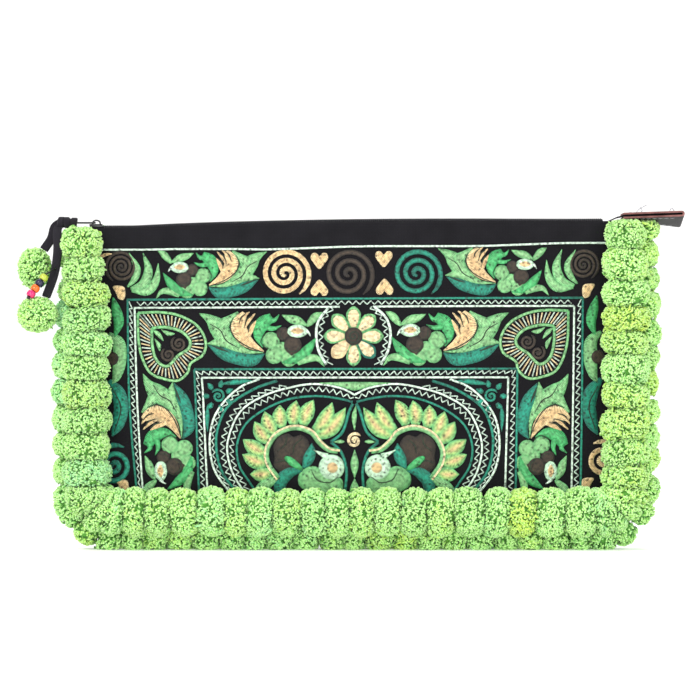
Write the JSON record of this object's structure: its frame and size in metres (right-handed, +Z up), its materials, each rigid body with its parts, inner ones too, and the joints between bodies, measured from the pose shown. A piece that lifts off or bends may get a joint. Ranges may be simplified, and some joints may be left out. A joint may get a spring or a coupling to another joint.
{
  "type": "embroidered zip clutch bag",
  "caption": "Flat zip pouch with an embroidered front, squeezed yarn pompoms round three edges, a leather zip-end tab and a knotted charm with pompoms and wooden beads.",
  "frame": {"origin": "on the surface that the bag stands on, below the middle of its width and under its bottom seam", "axes": "+X to the bag's right as its embroidered front is seen, +Y to its back, +Z up to the zip"},
  "size_m": [0.3939, 0.0521, 0.2],
  "materials": {
    "stitched_cotton": "satin stitch in greens, beige and brown on black cotton",
    "black_cotton": "plain weave, matt",
    "zip_tape": "woven tape with a nylon coil",
    "green_yarn": "cut pile, matt",
    "black_metal": "semi-gloss black paint",
    "brown_leather": "satin, with raw cut edges",
    "lime_wood": "glossy paint",
    "navy_wood": "glossy paint",
    "orange_wood": "glossy paint",
    "pink_wood": "glossy paint",
    "dark_thread": "twisted thread"
  },
  "bodies": {
    "root": {"front_panel": "stitched_cotton", "back_panel": "black_cotton", "front_band": "black_cotton", "back_band": "black_cotton", "front_garland_left": "green_yarn", "front_garland_bottom": "green_yarn", "front_garland_right": "green_yarn", "edge_garland_left": "green_yarn", "edge_garland_bottom": "green_yarn", "edge_garland_right": "green_yarn", "zip_tape_front": "zip_tape", "zip_tape_back": "zip_tape", "zip_slider": "black_metal", "zip_pull": "black_metal", "zip_end_tab": "brown_leather", "charm_strap": "black_cotton", "charm_pompom_upper": "green_yarn", "charm_pompom_lower": "green_yarn", "bead_lime": "lime_wood", "bead_navy": "navy_wood", "bead_orange": "orange_wood", "bead_pink": "pink_wood", "charm_thread": "dark_thread"}
  },
  "joints": []
}
